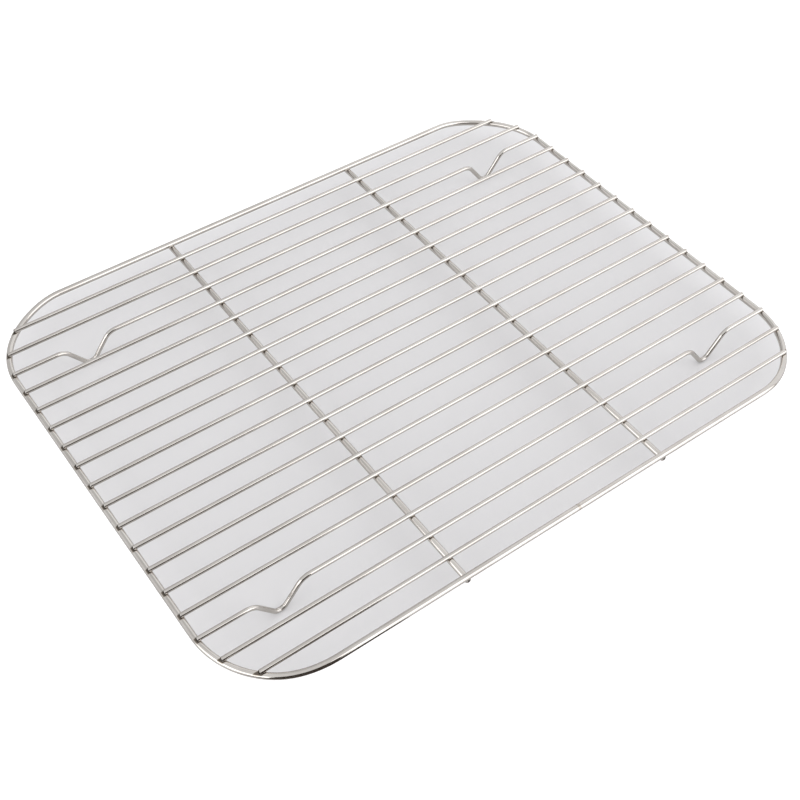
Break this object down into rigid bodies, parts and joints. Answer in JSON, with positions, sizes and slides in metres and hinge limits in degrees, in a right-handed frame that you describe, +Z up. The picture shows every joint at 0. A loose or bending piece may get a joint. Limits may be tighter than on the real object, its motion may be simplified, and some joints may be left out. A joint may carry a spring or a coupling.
{
  "type": "cooling rack",
  "caption": "Rectangular wire cooling rack: parallel slats on a rounded frame ring and cross rods, standing on V-shaped feet bent into the slats.",
  "frame": {"origin": "on the surface that the rack stands on, under the middle of the rack", "axes": "+X along the slats, +Y across the slats towards the back, +Z up"},
  "size_m": [0.38, 0.298, 0.0184],
  "materials": {
    "frame_steel": "bright polished stainless wire",
    "rod_steel": "bright polished stainless wire",
    "slat_steel": "bright polished stainless wire"
  },
  "bodies": {
    "root": {"frame_ring": "frame_steel", "cross_rod_left": "rod_steel", "cross_rod_right": "rod_steel", "foot_slat_back": "slat_steel", "foot_slat_front": "slat_steel", "slat_01": "slat_steel", "slat_02": "slat_steel", "slat_03": "slat_steel", "slat_04": "slat_steel", "slat_05": "slat_steel", "slat_06": "slat_steel", "slat_07": "slat_steel", "slat_08": "slat_steel", "slat_09": "slat_steel", "slat_10": "slat_steel", "slat_11": "slat_steel", "slat_12": "slat_steel", "slat_13": "slat_steel", "slat_14": "slat_steel", "slat_15": "slat_steel", "slat_16": "slat_steel"}
  },
  "joints": []
}
